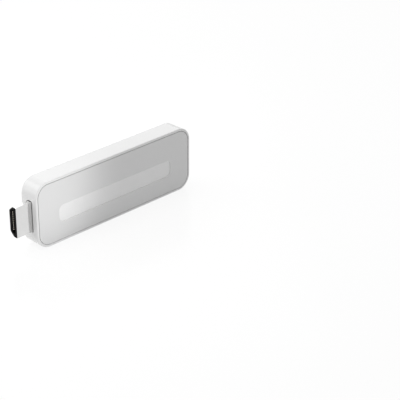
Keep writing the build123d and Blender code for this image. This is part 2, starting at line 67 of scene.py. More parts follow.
# %% Place the camera
SENSOR = 36.0
PICTURE_PIXELS = 400
FOCAL_PIXELS = 1358
CAMERA_PLACE = (-0.34166, -0.39879, 0.27477)
CAMERA_ABOVE = 26.99
CAMERA_TURN = -45.2
CAMERA_ROLL = 0.28

aim = (Matrix.Rotation(math.radians(CAMERA_TURN), 3, "Z")
       @ Matrix.Rotation(math.radians(90 - CAMERA_ABOVE), 3, "X")
       @ Matrix.Rotation(math.radians(CAMERA_ROLL), 3, "Z"))
bpy.ops.object.camera_add(location=CAMERA_PLACE, rotation=aim.to_euler())
camera = bpy.context.active_object
camera.name = "camera"
camera.data.sensor_width = SENSOR
camera.data.lens = FOCAL_PIXELS * SENSOR / PICTURE_PIXELS
camera.data.clip_start = 10 * MM
bpy.context.scene.camera = camera
print("lens", round(camera.data.lens, 1), "mm")

# %% [markdown]
# ## Floor and background
#
# The stick stands on a white table that runs out of the picture. A curved sheet of paper would do, but a
# flat floor and a white world are simpler. Two kinds of rays are told apart, because a white surrounding
# would flood the stick with light: rays from the camera, and rays that bounce off gloss or pass through
# glass, see white, and all other rays see a quieter grey world and the table's true shade. So the picture
# is white without more light on the stick. The camera keeps a fifth of the table's shade, which leaves a
# faint shadow under the stick.

# %% Say which rays see the white
WORLD_FILL = 0.445
TABLE_SIZE = 8.0
TABLE_SHADE_KEPT = 0.2
TABLE_GLOW = 1.05


def ray_is_seen(nodes, links):
    """Adds nodes that give 1 for camera, glossy and transmission rays, and 0 for all others."""
    rays = nodes.new("ShaderNodeLightPath")
    seen = rays.outputs["Is Camera Ray"]
    for kind in ("Is Glossy Ray", "Is Transmission Ray"):
        either = nodes.new("ShaderNodeMath")
        either.operation = "MAXIMUM"
        links.new(seen, either.inputs[0])
        links.new(rays.outputs[kind], either.inputs[1])
        seen = either.outputs[0]
    return seen


# %% Make the world
bpy.context.scene.view_settings.view_transform = "Standard"
world = bpy.data.worlds.new("studio")
bpy.context.scene.world = world
world.use_nodes = True
nodes, links = world.node_tree.nodes, world.node_tree.links
nodes.clear()
mix = nodes.new("ShaderNodeMixShader")
links.new(ray_is_seen(nodes, links), mix.inputs[0])
for place, strength in ((1, WORLD_FILL), (2, 1.0)):
    sky = nodes.new("ShaderNodeBackground")
    sky.inputs["Color"].default_value = (1, 1, 1, 1)
    sky.inputs["Strength"].default_value = strength
    links.new(sky.outputs[0], mix.inputs[place])
links.new(mix.outputs[0], nodes.new("ShaderNodeOutputWorld").inputs["Surface"])
print("world fill", WORLD_FILL)

# %% Make the table top
bpy.ops.mesh.primitive_plane_add(size=TABLE_SIZE)
table_top = bpy.context.active_object
table_top.name = "table_top"
white_table = bpy.data.materials.new("white table")
white_table.use_nodes = True
nodes, links = white_table.node_tree.nodes, white_table.node_tree.links
paint = nodes["Principled BSDF"]
paint.inputs["Base Color"].default_value = (0.93, 0.93, 0.93, 1)
paint.inputs["Roughness"].default_value = 0.2
glow = nodes.new("ShaderNodeEmission")
glow.inputs["Strength"].default_value = TABLE_GLOW
share = nodes.new("ShaderNodeMath")
share.operation = "MULTIPLY"
share.inputs[1].default_value = 1 - TABLE_SHADE_KEPT
links.new(ray_is_seen(nodes, links), share.inputs[0])
mix = nodes.new("ShaderNodeMixShader")
links.new(share.outputs[0], mix.inputs[0])
links.new(paint.outputs[0], mix.inputs[1])
links.new(glow.outputs[0], mix.inputs[2])
links.new(mix.outputs[0], nodes["Material Output"].inputs["Surface"])
table_top.data.materials.append(white_table)
print("table", TABLE_SIZE, "m wide")

# %% [markdown]
# ## Lamps
#
# The top of the stick is its brightest side, and the tone falls off below the rounded corner. A lamp
# overhead makes the top bright. Two low panels stand behind the stick: a long weak one, and a square,
# stronger one on the corner's side, which keeps the corner bright down to that fall. One large lamp would
# be simpler, but the corner would be dull. A narrow beam comes in low from the front, lifts the near end of
# the front plate and fades out towards the tail.

# %% Hang the lamps
LAMP_AIM, LAMP_DISTANCE = (-10, 0, 20), 0.50
BEAM_AIM, BEAM_DISTANCE = (-34, -5, 24.5), 0.45


def hang_lamp(name, kind, bearing, above, distance, aim_at, watts):
    """Adds a lamp that faces a point from a direction. Angles are in degrees, the distance in metres."""
    flat, up = math.radians(bearing), math.radians(above)
    direction = Vector((math.cos(up) * math.cos(flat), math.cos(up) * math.sin(flat), math.sin(up)))
    place = Vector(aim_at) * MM + direction * distance
    turn = direction.to_track_quat("Z", "Y").to_euler()
    bpy.ops.object.light_add(type=kind, location=place, rotation=turn)
    lamp = bpy.context.active_object
    lamp.name = name
    lamp.data.energy = watts
    print(name, watts, "W at", [round(v, 3) for v in place])
    return lamp.data


over_lamp = hang_lamp("over lamp", "AREA", bearing=90, above=86, distance=LAMP_DISTANCE,
                      aim_at=LAMP_AIM, watts=0.56)
over_lamp.size = 0.3
for name, bearing, above, width, height, watts in (("back panel", 79, 35, 0.87, 0.26, 0.44),
                                                   ("corner panel", 142, 32, 0.52, 0.52, 0.90)):
    panel = hang_lamp(name, "AREA", bearing, above, LAMP_DISTANCE, LAMP_AIM, watts)
    panel.shape = "RECTANGLE"
    panel.size, panel.size_y = width, height
beam = hang_lamp("front beam", "SPOT", bearing=278, above=14, distance=BEAM_DISTANCE,
                 aim_at=BEAM_AIM, watts=3.15)
beam.spot_size = math.radians(9)
beam.spot_blend = 1.0
beam.shadow_soft_size = 0.012

# %% [markdown]
# ## Tools for modelling
#
# Everything below starts as a cube or a cylinder and is then shaped in edit mode. In the window one would
# click on edges and faces. A script has to say which ones by where they are or which way they run, so these
# short tools choose parts of a mesh by a test, and each one leaves edit mode again when it is done.

# %% Start a piece and choose parts of it
# Two places nearer to each other than this, in millimetres, count as one.
NEAR = 0.002
X, Y, Z = 0, 1, 2


def make_active(piece):
    """Deselects everything else, because an operator acts on all that is selected."""
    bpy.ops.object.select_all(action="DESELECT")
    piece.select_set(True)
    bpy.context.view_layer.objects.active = piece


def new_box(name, low, high):
    """A cube primitive stretched between two corners, with its place in its mesh."""
    low, high = Vector(low) * MM, Vector(high) * MM
    bpy.ops.object.select_all(action="DESELECT")
    bpy.ops.mesh.primitive_cube_add(size=1, location=(low + high) / 2, scale=high - low)
    bpy.ops.object.transform_apply(location=True, rotation=True, scale=True)
    piece = bpy.context.active_object
    piece.name = name
    return piece


def middle(part):
    """The middle of an edge or face."""
    return sum((v.co for v in part.verts), Vector()) / len(part.verts) / MM


def lies_at(part, axis, value):
    """True if all of an edge or face has this one coordinate."""
    return all(abs(v.co[axis] / MM - value) < NEAR for v in part.verts)


def runs_along(edge, axis):
    """True if an edge points along an axis."""
    way = edge.verts[1].co - edge.verts[0].co
    return abs(way[axis]) > 0.999 * way.length


def choose(piece, kind, test):
    """Opens a piece in edit mode and selects its edges or faces that pass a test."""
    make_active(piece)
    bpy.ops.object.mode_set(mode="EDIT")
    bpy.ops.mesh.select_mode(type=kind)
    bpy.ops.mesh.select_all(action="DESELECT")
    mesh = bmesh.from_edit_mesh(piece.data)
    parts = mesh.edges if kind == "EDGE" else mesh.faces
    count = 0
    for part in parts:
        if test(part):
            part.select_set(True)
            count += 1
    bmesh.update_edit_mesh(piece.data)
    if not count:
        raise ValueError(f"{piece.name}: nothing was chosen")


# %% Shape the chosen parts
def soften(piece, test, radius, steps):
    """Rounds the edges that pass a test."""
    choose(piece, "EDGE", test)
    bpy.ops.mesh.bevel(offset=radius * MM, segments=steps, affect="EDGES")
    bpy.ops.object.mode_set(mode="OBJECT")


def soften_rims(piece, places, radius, steps):
    """Rounds all edges that lie at one of these places along X."""
    soften(piece, lambda e: any(lies_at(e, X, place) for place in places), radius, steps)


def inset_and_push(piece, test, inset, by):
    """Draws a smaller outline inside a face, then moves the inner face by extruding it."""
    choose(piece, "FACE", test)
    if inset:
        bpy.ops.mesh.inset(thickness=inset * MM, use_even_offset=True)
    bpy.ops.mesh.extrude_region_move(TRANSFORM_OT_translate={"value": Vector(by) * MM})
    bpy.ops.object.mode_set(mode="OBJECT")


def push(piece, kind, test, by):
    """Moves the edges or faces that pass a test."""
    choose(piece, kind, test)
    bpy.ops.transform.translate(value=Vector(by) * MM)
    bpy.ops.object.mode_set(mode="OBJECT")


def stretch(piece, test, centre, scale):
    """Scales the faces that pass a test about a point."""
    choose(piece, "FACE", test)
    bpy.ops.transform.resize(value=scale, center_override=Vector(centre) * MM)
    bpy.ops.object.mode_set(mode="OBJECT")


def slice_at(piece, axis, value):
    """Adds a ring of edges where a flat plane crosses the piece."""
    choose(piece, "FACE", lambda face: True)
    normal = Vector((axis == X, axis == Y, axis == Z))
    bpy.ops.mesh.bisect(plane_co=normal * value * MM, plane_no=normal, threshold=1e-7)
    bpy.ops.object.mode_set(mode="OBJECT")


def combine(piece, tool, operation):
    """Cuts a tool out of a piece, or joins it on, and deletes the tool."""
    step = piece.modifiers.new("combine", "BOOLEAN")
    step.object, step.operation, step.solver = tool, operation, "EXACT"
    make_active(piece)
    bpy.ops.object.modifier_apply(modifier=step.name)
    bpy.data.objects.remove(tool)


def cut(piece, tool):
    combine(piece, tool, "DIFFERENCE")


def join_on(piece, tool):
    combine(piece, tool, "UNION")


# %% [markdown]
# ## Tools for finishes
#
# No real surface is one flat colour. Even new plastic has a fine moulded grain, and metal has faint rolling
# marks. A noise pattern can drive colour, gloss and tiny bumps. The patterns read Object coordinates, which
# is the piece's own space in metres, so a grain keeps its true size and stays put when the piece moves.

# %% Mix a finish
# Nearly all of a noise's values lie between these two.
NOISE_LOW, NOISE_HIGH = 0.3, 0.7


def new_finish(name, colour, roughness, metallic=0.0, ior=1.5):
    """A material whose shader has these plain numbers on its own sockets."""
    finish = bpy.data.materials.new(name)
    finish.use_nodes = True
    shader = finish.node_tree.nodes["Principled BSDF"]
    shader.inputs["Base Color"].default_value = (*colour, 1)
    shader.inputs["Roughness"].default_value = roughness
    shader.inputs["Metallic"].default_value = metallic
    shader.inputs["IOR"].default_value = ior
    return finish


def noise(finish, size, detail=3.0, stretched=(1, 1, 1)):
    """A noise pattern whose spots are about this many millimetres wide."""
    nodes, links = finish.node_tree.nodes, finish.node_tree.links
    place = nodes.new("ShaderNodeTexCoord")
    scale = nodes.new("ShaderNodeMapping")
    scale.inputs["Scale"].default_value = stretched
    pattern = nodes.new("ShaderNodeTexNoise")
    pattern.inputs["Scale"].default_value = 1 / (size * MM)
    pattern.inputs["Detail"].default_value = detail
    links.new(place.outputs["Object"], scale.inputs["Vector"])
    links.new(scale.outputs["Vector"], pattern.inputs["Vector"])
    return pattern.outputs["Fac"]


def vary_colour(finish, pattern, dark, light):
    """Runs the colour between two tones with a pattern."""
    nodes, links = finish.node_tree.nodes, finish.node_tree.links
    ramp = nodes.new("ShaderNodeValToRGB")
    for stop, position, tone in zip(ramp.color_ramp.elements, (NOISE_LOW, NOISE_HIGH), (dark, light)):
        stop.position = position
        stop.color = (*tone, 1)
    links.new(pattern, ramp.inputs[0])
    links.new(ramp.outputs["Color"], nodes["Principled BSDF"].inputs["Base Color"])


def vary_gloss(finish, pattern, smooth, rough):
    """Runs the roughness between two values with a pattern."""
    nodes, links = finish.node_tree.nodes, finish.node_tree.links
    span = nodes.new("ShaderNodeMapRange")
    span.inputs["From Min"].default_value = NOISE_LOW
    span.inputs["From Max"].default_value = NOISE_HIGH
    span.inputs["To Min"].default_value = smooth
    span.inputs["To Max"].default_value = rough
    links.new(pattern, span.inputs["Value"])
    links.new(span.outputs["Result"], nodes["Principled BSDF"].inputs["Roughness"])


def add_grain(finish, pattern, height):
    """Raises the surface with a pattern, by this many millimetres."""
    nodes, links = finish.node_tree.nodes, finish.node_tree.links
    bump = nodes.new("ShaderNodeBump")
    bump.inputs["Distance"].default_value = height * MM
    links.new(pattern, bump.inputs["Height"])
    links.new(bump.outputs["Normal"], nodes["Principled BSDF"].inputs["Normal"])


# %% Hand a finished piece over
SMOOTH_BELOW = 35


def hand_over(piece, body, slot, stands_for, *finishes):
    """Smooths the shading, keeps flat sides flat, adds the finishes, sets the body and hides the part it
    stands for.
    """
    make_active(piece)
    bpy.ops.object.shade_smooth_by_angle(angle=math.radians(SMOOTH_BELOW))
    step = piece.modifiers.new("flat sides", "WEIGHTED_NORMAL")
    step.keep_sharp = True
    bpy.ops.object.modifier_apply(modifier=step.name)
    for finish in finishes:
        piece.data.materials.append(finish)
    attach(piece, body)
    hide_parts(stands_for)
    print(piece.name, len(piece.data.polygons), "faces")


# %% [markdown]
# ## The white housing
#
# The housing is one moulding: four side walls and a back, open to the front, where a narrow rim frames the
# glossy plate and a ledge behind the rim carries it. It could be drawn as a flat outline and extruded.
# Starting from a box and rounding its edges in order, largest first, gives the same shape with clean
# corners.

# %% Size up the housing
PLUG_FACE, TAIL_FACE = -39.95, 48.05
FRONT, BACK, HEIGHT = -5.0, 5.0, 30.0
MID_HEIGHT = HEIGHT / 2
CORNER = 6.6
RIM, LEDGE = 1.08, 0.52
BACK_EDGE, FRONT_EDGE, RIM_EDGE = 1.2, 0.4, 0.03
PLATE = 1.2
BACK_WALL = 1.5
SIDE_WALL = RIM + LEDGE
PLATE_BACK = FRONT + PLATE
INNER_BACK = BACK - BACK_WALL

# %% Round the box and hollow it
CENTRE = Vector(((PLUG_FACE + TAIL_FACE) / 2, 0, MID_HEIGHT))


def on_rim(edge, outer):
    """True for an edge of the front between it and an upright wall that looks outwards, or inwards."""
    wall = min(edge.link_faces, key=lambda f: abs(f.normal.y))
    faces_out = wall.normal.dot(middle(edge) - CENTRE) > 0
    return lies_at(edge, Y, FRONT) and abs(wall.normal.y) < 0.5 and faces_out == outer


housing = new_box("housing", (PLUG_FACE, FRONT, 0), (TAIL_FACE, BACK, HEIGHT))
soften(housing, lambda e: runs_along(e, Y), CORNER, 20)
soften(housing, lambda e: lies_at(e, Y, BACK), BACK_EDGE, 6)
inset_and_push(housing, lambda f: lies_at(f, Y, FRONT), RIM, (0, PLATE, 0))
inset_and_push(housing, lambda f: lies_at(f, Y, PLATE_BACK), LEDGE, (0, INNER_BACK - PLATE_BACK, 0))
soften(housing, lambda e: on_rim(e, True), FRONT_EDGE, 5)
soften(housing, lambda e: on_rim(e, False), RIM_EDGE, 2)
print("housing", [round(v / MM, 2) for v in housing.dimensions])

# %% [markdown]
# More details shape the housing. The plug and the power inlet reach through slots, the button and the light
# through round holes, and the lips of all four are softened so that they catch a thin light. The plug's
# slot follows the plug's own outline a little way off, so the gap is the same all round. A bare, very
# shallow field in the back is where such sticks carry a label. Four posts inside hold the circuit board. A
# boolean modifier cuts or joins each of these with a small tool piece.

# %% Cut the openings
PLUG_Y = 0.15
PLUG_HALF = (2.225, 6.95)
PLUG_WAIST, PLUG_BACK_HALF = -0.025, 4.85
SLOT_HALF = (2.525, 7.25)
SLOT_WAIST, SLOT_BACK_HALF = 0.093, 4.98
SLOT_CORNER, SLOT_LIP = 0.7, 0.14
INLET_Y = -1.6
INLET_SLOT = (1.5, 4.0)
INLET_SLOT_CORNER, INLET_SLOT_LIP = 0.6, 0.12
BUTTON_Y, BUTTON_Z = -1.05, 21.9
BUTTON_HOLE, BUTTON_HOLE_LIP = 1.42, 0.1
LIGHT_Y, LIGHT_Z = -0.9, 8.4
LIGHT_HOLE, LIGHT_HOLE_LIP = 0.7, 0.06
# A tool reaches this far past the faces that it cuts.
PAST = 1.0


def new_rod(name, axis, start, end, across, radius, sides=40):
    """A cylinder primitive along X or Y, placed on the other two axes by across."""
    centre = Vector((*across[:axis], (start + end) / 2, *across[axis:]))
    turn = (0, math.radians(90), 0) if axis == X else (math.radians(90), 0, 0)
    bpy.ops.object.select_all(action="DESELECT")
    bpy.ops.mesh.primitive_cylinder_add(vertices=sides, radius=radius * MM, depth=(end - start) * MM,
                                        location=centre * MM, rotation=turn)
    bpy.ops.object.transform_apply(location=True, rotation=True, scale=True)
    piece = bpy.context.active_object
    piece.name = name
    return piece


def new_slanted_bar(name, start, end, y, half_y, half_z, waist, back_half_z):
    """A bar along X whose outline is straight in front of the waist and slants in towards its back."""
    bar = new_box(name, (start, y - half_y, MID_HEIGHT - half_z), (end, y + half_y, MID_HEIGHT + half_z))
    slice_at(bar, Y, y + waist)
    back = y + half_y
    stretch(bar, lambda f: lies_at(f, Y, back), (0, back, MID_HEIGHT), (1, 1, back_half_z / half_z))
    return bar


def cut_slot(piece, tool, face, y, half_y, half_z, corner, lip):
    """Rounds a tool's long edges, cuts it through an end wall and softens the slot's outer lip."""
    soften(tool, lambda e: runs_along(e, X), corner, 6)
    cut(piece, tool)
    soften(piece, lambda e: lies_at(e, X, face) and abs(middle(e).y - y) < half_y + NEAR
           and abs(middle(e).z - MID_HEIGHT) < half_z + NEAR, lip, 3)


def cut_hole(piece, y, z, radius, lip):
    """Drills a round hole through the tail wall and softens its outer lip."""
    cut(piece, new_rod("tool", X, TAIL_FACE - SIDE_WALL - PAST, TAIL_FACE + PAST, (y, z), radius))
    soften(piece, lambda e: lies_at(e, X, TAIL_FACE)
           and math.hypot(middle(e).y - y, middle(e).z - z) < radius + NEAR, lip, 2)


plug_tool = new_slanted_bar("tool", PLUG_FACE - PAST, PLUG_FACE + SIDE_WALL + PAST, PLUG_Y,
                            *SLOT_HALF, SLOT_WAIST, SLOT_BACK_HALF)
cut_slot(housing, plug_tool, PLUG_FACE, PLUG_Y, *SLOT_HALF, SLOT_CORNER, SLOT_LIP)
inlet_low = (TAIL_FACE - SIDE_WALL - PAST, INLET_Y - INLET_SLOT[0], MID_HEIGHT - INLET_SLOT[1])
inlet_high = (TAIL_FACE + PAST, INLET_Y + INLET_SLOT[0], MID_HEIGHT + INLET_SLOT[1])
inlet_tool = new_box("tool", inlet_low, inlet_high)
cut_slot(housing, inlet_tool, TAIL_FACE, INLET_Y, *INLET_SLOT, INLET_SLOT_CORNER, INLET_SLOT_LIP)
cut_hole(housing, BUTTON_Y, BUTTON_Z, BUTTON_HOLE, BUTTON_HOLE_LIP)
cut_hole(housing, LIGHT_Y, LIGHT_Z, LIGHT_HOLE, LIGHT_HOLE_LIP)
print("openings cut:", len(housing.data.polygons), "faces")

# %% Press the label field and raise the posts
LABEL_LOW, LABEL_HIGH = (-23.95, 4.85, 6.5), (32.05, BACK + PAST, 23.5)
LABEL_CORNER = 1.5
POST_X, POST_Z = (-28.12, 36.15), (5.3, 24.7)
POST_RADIUS, POST_SIDES = 1.7, 32
BOARD_FRONT, BOARD_BACK = -0.35, 0.65
SCREWS = ((POST_X[0], POST_Z[1]), (POST_X[1], POST_Z[0]))
SCREW_HOLE, SCREW_DEPTH = 0.73, 2.23

label_tool = new_box("tool", LABEL_LOW, LABEL_HIGH)
soften(label_tool, lambda e: runs_along(e, Y), LABEL_CORNER, 8)
cut(housing, label_tool)
for x in POST_X:
    for z in POST_Z:
        post = new_rod("tool", Y, BOARD_BACK, INNER_BACK + BACK_WALL / 2, (x, z), POST_RADIUS, POST_SIDES)
        join_on(housing, post)
for x, z in SCREWS:
    hole = new_rod("tool", Y, BOARD_BACK - PAST, BOARD_BACK + SCREW_DEPTH, (x, z), SCREW_HOLE, POST_SIDES)
    cut(housing, hole)
print("posts raised:", len(housing.data.polygons), "faces")

# %% [markdown]
# ## Snap hooks
#
# The glossy plate is held by six small hooks on two skirts behind it, which click into pockets in the
# housing's long walls. One wedge shape serves for both: as it is for a hook, and a little larger as the
# tool that cuts the pocket.

# %% Make the hooks' shape and cut the pockets
HOOK_X = (-26.35, 4.05, 34.45)
HOOK_Y = -2.7
HOOK_LENGTH, HOOK_DEPTH, HOOK_LAND, HOOK_REACH = 5.0, 0.8, 0.25, 0.35
POCKET_GAP = 0.1
SKIRT_FACE = 13.3
SKIRT = 0.8


def new_hook(x, side, grown):
    """A wedge on the skirt's outer face, at the top (side 1) or the bottom (side -1) of the stick."""
    top = SKIRT_FACE + HOOK_REACH + grown
    z = sorted((MID_HEIGHT + side * (SKIRT_FACE - SKIRT / 2), MID_HEIGHT + side * top))
    half = HOOK_LENGTH / 2 + grown
    back = HOOK_Y + HOOK_DEPTH + grown
    hook = new_box("tool", (x - half, HOOK_Y - grown, z[0]), (x + half, back, z[1]))
    slice_at(hook, Y, HOOK_Y + HOOK_LAND + grown)
    push(hook, "EDGE", lambda e: lies_at(e, Y, back) and lies_at(e, Z, MID_HEIGHT + side * top),
         (0, 0, -side * (HOOK_REACH + grown)))
    return hook


for x in HOOK_X:
    for side in (1, -1):
        cut(housing, new_hook(x, side, POCKET_GAP))
print("pockets cut:", len(housing.data.polygons), "faces")

# %% [markdown]
# ## White moulded plastic
#
# The housing's plastic is smooth and glossy. Up close such a moulding is never perfectly even, and both its
# gloss and its tone wander a little. Noises of different sizes give that. A thin clear coat makes the shine
# a little stronger than plastic alone would.
#
# Two white walls a hair apart light each other, and the seam between them would vanish. On the real stick
# the seam is dark from its depth, so its walls get painted shade: a dark grey finish of their own.

# %% Mix the white plastic
WHITE = (0.84, 0.84, 0.84)
WHITE_DARKER = (0.825, 0.825, 0.823)

white_plastic = new_finish("white moulded plastic", WHITE, 0.1)
coat = white_plastic.node_tree.nodes["Principled BSDF"].inputs
coat["Coat Weight"].default_value = 0.4
coat["Coat Roughness"].default_value = 0.03
vary_colour(white_plastic, noise(white_plastic, 9.0), WHITE_DARKER, WHITE)
vary_gloss(white_plastic, noise(white_plastic, 2.5), 0.05, 0.09)
add_grain(white_plastic, noise(white_plastic, 0.3, 2.0), 0.0006)

# A dark grey painted shade for the seam's walls, standing in for the shade deep in the gap.
seam_painted_shade = new_finish("painted seam shade", (0.22, 0.22, 0.22), 0.8)
vary_colour(seam_painted_shade, noise(seam_painted_shade, 1.0), (0.19, 0.19, 0.19), (0.25, 0.25, 0.25))
hand_over(housing, "housing", "shell_white", "rear_shell", white_plastic, seam_painted_shade)

# %% Paint shade on the walls of the seam
EDGE_REACH = 0.1


def paint_seam_shade(piece, index, outer):
    """Paints shade on the seam's upright walls, from the front to the plate's back, with the finish at this
    index.
    """
    count = 0
    for face in piece.data.polygons:
        deep = [piece.data.vertices[v].co.y / MM for v in face.vertices]
        reaches = min(deep) < FRONT + EDGE_REACH and abs(max(deep) - PLATE_BACK) < NEAR
        if reaches and (face.normal.dot(face.center / MM - CENTRE) > 0) == outer:
            face.material_index = index
            count += 1
    print(piece.name, "seam faces", count)


# The housing's inner walls of the seam get the painted shade.
paint_seam_shade(housing, 1, False)

# %% [markdown]
# ## The glossy front plate
#
# The plate fills the housing's mouth with a hair gap all round. Its band is a pressed field with a soft
# rim, nearer to the bottom than to the top. The field could be faked by a bump, but a real recess gives the
# thin bright line that the lower rim shows. Its floor is matt, so those faces get their own finish.

# %% Shape the plate and its band
PLATE_LOW, PLATE_HIGH = (-38.69, FRONT, 1.20), (46.79, PLATE_BACK, 28.74)
PLATE_CORNER, PLATE_EDGE = 5.37, 0.05
BAND_FLOOR = FRONT + 0.35
BAND_LOW, BAND_HIGH = (-27.95, FRONT - PAST, 9.15), (36.05, BAND_FLOOR, 17.0)
BAND_CORNER, BAND_EDGE = 2.6, 0.12

front_plate = new_box("front_plate", PLATE_LOW, PLATE_HIGH)
soften(front_plate, lambda e: runs_along(e, Y), PLATE_CORNER, 20)
soften(front_plate, lambda e: lies_at(e, Y, FRONT), PLATE_EDGE, 2)
band_tool = new_box("tool", BAND_LOW, BAND_HIGH)
soften(band_tool, lambda e: runs_along(e, Y), BAND_CORNER, 12)
cut(front_plate, band_tool)


def on_band_rim(edge):
    """True for the edges round the band, at the plate's face."""
    place = middle(edge)
    return (lies_at(edge, Y, FRONT) and BAND_LOW[0] - NEAR < place.x < BAND_HIGH[0] + NEAR
            and BAND_LOW[2] - NEAR < place.z < BAND_HIGH[2] + NEAR)


soften(front_plate, on_band_rim, BAND_EDGE, 3)
print("plate", len(front_plate.data.polygons), "faces")

# %% Add skirts, hooks and ribs behind the plate
SKIRT_X = (-31.35, 39.45)
SKIRT_BACK = -1.9
RIB_X, RIB_HALF = (-14.72, -2.72), 0.5
RIB_BACK, RIB_Z = -3.35, (7, 23)
# Skirts and ribs start this far inside the plate, so that they join it.
BITE = 0.05

for side in (1, -1):
    z = sorted((MID_HEIGHT + side * SKIRT_FACE, MID_HEIGHT + side * (SKIRT_FACE - SKIRT)))
    skirt = new_box("tool", (SKIRT_X[0], PLATE_BACK - BITE, z[0]), (SKIRT_X[1], SKIRT_BACK, z[1]))
    join_on(front_plate, skirt)
    for x in HOOK_X:
        join_on(front_plate, new_hook(x, side, 0))
for x in RIB_X:
    rib = new_box("tool", (x - RIB_HALF, PLATE_BACK - BITE, RIB_Z[0]), (x + RIB_HALF, RIB_BACK, RIB_Z[1]))
    join_on(front_plate, rib)
print("plate with skirts", len(front_plate.data.polygons), "faces")

# %% [markdown]
# ## Gloss and matt on one plate
#
# Polished plastic mirrors a little of whatever it faces, and has the very slight waviness of a moulded
# surface. The band has no shine, and looks a shade lighter where the plate darkens. Two materials on one
# mesh keep the line between them crisp.

# %% Mix gloss and matt, and give the band its own
polished = new_finish("polished white plastic", (0.79, 0.79, 0.79), 0.07)
vary_gloss(polished, noise(polished, 6.0), 0.05, 0.09)
add_grain(polished, noise(polished, 2.2, 1.0), 0.0006)

matt_white = new_finish("matt white band", (0.93, 0.93, 0.93), 0.6)
vary_colour(matt_white, noise(matt_white, 5.0), (0.915, 0.915, 0.913), (0.93, 0.93, 0.93))
add_grain(matt_white, noise(matt_white, 0.1, 2.0), 0.002)

hand_over(front_plate, "housing", "cover_gloss", "front_cover", polished, matt_white, seam_painted_shade)
# The plate's outer walls in the seam get the painted shade too.
paint_seam_shade(front_plate, 2, True)
band_faces = 0
for face in front_plate.data.polygons:
    if abs(face.center.y / MM - BAND_FLOOR) < NEAR and abs(face.normal.y) > 0.99:
        face.material_index = 1
        band_faces += 1
print("band faces", band_faces)

# %% [markdown]
# ## The plug's metal sleeve
#
# The sleeve is bright plated sheet, bent round into a flat tube with one pair of long edges cut at a slant,
# so that it goes in only one way up. It is drawn in a little at its mouth. The sheet meets itself in a fine
# seam on the back. A closed outline could be extruded, but shaping a box and giving its skin a wall with
# the Solidify modifier keeps the sheet the same thickness all round.

# %% Give a bar's skin a wall
def give_wall(piece, thickness):
    """Takes the two ends off a bar and gives its skin a wall, inwards."""
    ends = (min(v.co.x for v in piece.data.vertices) / MM, max(v.co.x for v in piece.data.vertices) / MM)
    choose(piece, "FACE", lambda f: any(lies_at(f, X, end) for end in ends))
    bpy.ops.mesh.delete(type="ONLY_FACE")
    bpy.ops.object.mode_set(mode="OBJECT")
    wall = piece.modifiers.new("wall", "SOLIDIFY")
    wall.thickness = thickness * MM
    wall.offset = -1
    wall.use_even_offset = True
    make_active(piece)
    bpy.ops.object.modifier_apply(modifier=wall.name)


# %% Bend the plug's sleeve
PLUG_TIP = -48.05
PLUG_END = -33.95
DRAWN_FROM, DRAWN_IN = PLUG_TIP + 1.0, 0.03
SHEET = 0.3
SLEEVE_CORNER, MOUTH_EDGE = 0.4, 0.06

plug_sleeve = new_slanted_bar("plug_sleeve", PLUG_TIP, PLUG_END, PLUG_Y, *PLUG_HALF,
                              PLUG_WAIST, PLUG_BACK_HALF)
soften(plug_sleeve, lambda e: runs_along(e, X), SLEEVE_CORNER, 5)
slice_at(plug_sleeve, X, DRAWN_FROM)
stretch(plug_sleeve, lambda f: lies_at(f, X, PLUG_TIP), (PLUG_TIP, PLUG_Y, MID_HEIGHT),
        (1, 1 - DRAWN_IN / PLUG_HALF[0], 1 - DRAWN_IN / PLUG_HALF[1]))
give_wall(plug_sleeve, SHEET)
soften(plug_sleeve, lambda e: lies_at(e, X, PLUG_TIP) and not runs_along(e, X), MOUTH_EDGE, 2)
print("sleeve", len(plug_sleeve.data.polygons), "faces")

# %% Give the sleeve its feet and its seam
FOOT_X = (-36.95, -34.95)
FOOT_Z = (6.8, 9.15)
FOOT_Y = (-0.65, BOARD_FRONT)
SEAM_HALF, SEAM_DEPTH = 0.03, 0.12
PLUG_BACK = PLUG_Y + PLUG_HALF[0]

for side in (1, -1):
    z = sorted(MID_HEIGHT + side * out for out in FOOT_Z)
    join_on(plug_sleeve, new_box("tool", (FOOT_X[0], FOOT_Y[0], z[0]), (FOOT_X[1], FOOT_Y[1], z[1])))
cut(plug_sleeve, new_box("tool", (PLUG_TIP - PAST, PLUG_BACK - SEAM_DEPTH, MID_HEIGHT - SEAM_HALF),
                         (PLUG_END + PAST, PLUG_BACK + PAST, MID_HEIGHT + SEAM_HALF)))
print("sleeve with feet", len(plug_sleeve.data.polygons), "faces")

# %% [markdown]
# ## Bright plated metal
#
# A metal shows its colour only in what it reflects, so its base colour is how much light it gives back.
# This plating gives back about two thirds. Rolling leaves faint streaks along the sheet, so one noise is
# stretched along X and drives both gloss and a very low bump. Where the sheet was cut, at the mouth, its
# edge is painted near-black as shade, so the dark of the mouth reaches the sleeve's outline.

# %% Mix the plating and finish the sleeve
ALONG_X = (0.08, 1, 1)
MOUTH_SHADE_REACH = 0.07

plating = new_finish("bright plating", (0.71, 0.71, 0.705), 0.12, metallic=1.0)
vary_colour(plating, noise(plating, 1.5), (0.70, 0.70, 0.695), (0.72, 0.72, 0.715))
streaks = noise(plating, 0.15, 2.0, ALONG_X)
vary_gloss(plating, streaks, 0.09, 0.15)
add_grain(plating, streaks, 0.0004)
# Painted shade: the cut edge at the mouth is made near-black, for the shade inside the mouth.
mouth_painted_shade = new_finish("painted shade at cut edge", (0.009, 0.009, 0.009), 0.7, ior=1.1)
vary_colour(mouth_painted_shade, noise(mouth_painted_shade, 0.3), (0.007, 0.007, 0.007), (0.011, 0.011, 0.011))
hand_over(plug_sleeve, "housing", "plug_metal", "plug_shell", plating, mouth_painted_shade)
